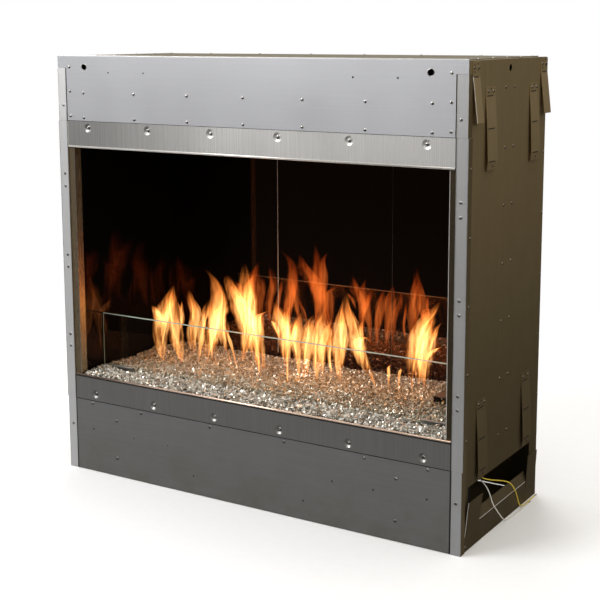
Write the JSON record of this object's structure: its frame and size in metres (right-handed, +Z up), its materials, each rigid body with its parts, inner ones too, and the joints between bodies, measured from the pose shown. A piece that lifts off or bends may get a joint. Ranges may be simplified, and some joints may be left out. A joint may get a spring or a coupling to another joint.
{
  "type": "outdoor gas fireplace",
  "caption": "Built-in outdoor gas fireplace: folded sheet casing with dimpled strips round a wide glass-lined firebox, crushed glass bed, lift-out wind guard and gas train below.",
  "frame": {"origin": "middle of the base, on the floor that the appliance stands on", "axes": "+X to the right seen from the front, +Y to the back, +Z up; the front facing faces -Y"},
  "size_m": [1.0075, 0.394, 0.945],
  "materials": {
    "casing_sheet": "zinc coated sheet, dull, warm olive grey",
    "top_sheet": "zinc coated sheet, dull, tan grey",
    "standoff_sheet": "zinc coated sheet, dull, warm olive grey",
    "upper_facing": "light grey zinc coated sheet, faintly brushed",
    "lower_facing": "grey zinc coated sheet, in shade",
    "upper_strip": "rolled zinc coated sheet with faint vertical streaks",
    "lower_strip": "rolled zinc coated sheet",
    "post_sheet": "grey zinc coated sheet",
    "jamb_sheet": "grey zinc coated sheet, in shade",
    "firebox_sheet": "matt black heat paint",
    "black_glass": "black, mirror-like tempered glass",
    "clear_glass": "clear tempered glass with a pale green edge",
    "crushed_glass": "clear crushed glass chips over a warm fire",
    "stainless": "stainless steel, heat tinted",
    "clip_sheet": "plain steel",
    "pilot_sheet": "black heat paint",
    "brass": "machined brass",
    "ceramic": "white glazed ceramic",
    "gas_tubing": "bent soft aluminium tube",
    "cast_aluminium": "cast, satin",
    "black_pipe": "black iron pipe",
    "red_grip": "red vinyl coated steel",
    "black_plastic": "moulded, fine matt texture",
    "white_wire": "white insulated wire",
    "yellow_wire": "yellow insulated wire"
  },
  "bodies": {
    "appliance": {"back_glass_centre": "black_glass", "back_glass_left": "black_glass", "back_glass_right": "black_glass", "base_pan": "casing_sheet", "burner_tray": "stainless", "burner_tube": "stainless", "control_module": "black_plastic", "firebox_ceiling": "firebox_sheet", "firebox_floor": "firebox_sheet", "firebox_wrap": "firebox_sheet", "gas_feed_tube": "gas_tubing", "gas_inlet_nipple": "black_pipe", "gas_valve": "cast_aluminium", "guard_clip_left": "clip_sheet", "guard_clip_right": "clip_sheet", "igniter_cable": "black_plastic", "igniter_electrode": "ceramic", "left_jamb": "jamb_sheet", "left_lower_corner": "post_sheet", "left_lower_standoff_front": "standoff_sheet", "left_lower_standoff_rear": "standoff_sheet", "left_post": "post_sheet", "left_side_glass": "black_glass", "left_side_panel": "casing_sheet", "left_top_standoff_front": "standoff_sheet", "left_top_standoff_rear": "standoff_sheet", "left_upper_corner": "post_sheet", "left_upper_standoff_front": "standoff_sheet", "left_upper_standoff_rear": "standoff_sheet", "lower_finishing_strip": "lower_strip", "lower_front_panel": "lower_facing", "media_front": "crushed_glass", "media_rear": "crushed_glass", "orifice_tube": "gas_tubing", "pilot_burner": "brass", "pilot_hood": "pilot_sheet", "pilot_tube": "gas_tubing", "rear_panel": "casing_sheet", "right_jamb": "jamb_sheet", "right_lower_corner": "post_sheet", "right_lower_standoff_front": "standoff_sheet", "right_lower_standoff_rear": "standoff_sheet", "right_post": "post_sheet", "right_side_glass": "black_glass", "right_side_panel": "casing_sheet", "right_top_standoff_front": "standoff_sheet", "right_top_standoff_rear": "standoff_sheet", "right_upper_corner": "post_sheet", "right_upper_standoff_front": "standoff_sheet", "right_upper_standoff_rear": "standoff_sheet", "shutoff_valve": "brass", "top_panel": "top_sheet", "upper_finishing_strip": "upper_strip", "upper_front_panel": "upper_facing", "white_lead": "white_wire", "yellow_lead": "yellow_wire"},
    "wind_guard": {"wind_guard_glass": "clear_glass"},
    "shutoff_handle": {"shutoff_lever": "red_grip"},
    "flame_knob": {"flame_height_knob": "black_plastic"},
    "shutter_ring": {"air_shutter": "stainless"}
  },
  "joints": [
    {"name": "wind_guard_lift", "type": "slide", "parent": "appliance", "child": "wind_guard", "axis": [0, 0, 1], "range_m": [0, 0.025]},
    {"name": "shutoff_turn", "type": "hinge", "parent": "appliance", "child": "shutoff_handle", "pos_m": [-0.37, -0.09, 0.0787], "axis": [0, 0, 1], "range_deg": [0, 90]},
    {"name": "flame_knob_turn", "type": "hinge", "parent": "appliance", "child": "flame_knob", "pos_m": [-0.048, -0.14, 0.055], "axis": [0, -1, 0], "range_deg": [0, 120]},
    {"name": "air_shutter_turn", "type": "hinge", "parent": "appliance", "child": "shutter_ring", "pos_m": [-0.02, 0.065, 0.122], "axis": [0, 0, 1], "range_deg": [0, 60]}
  ]
}
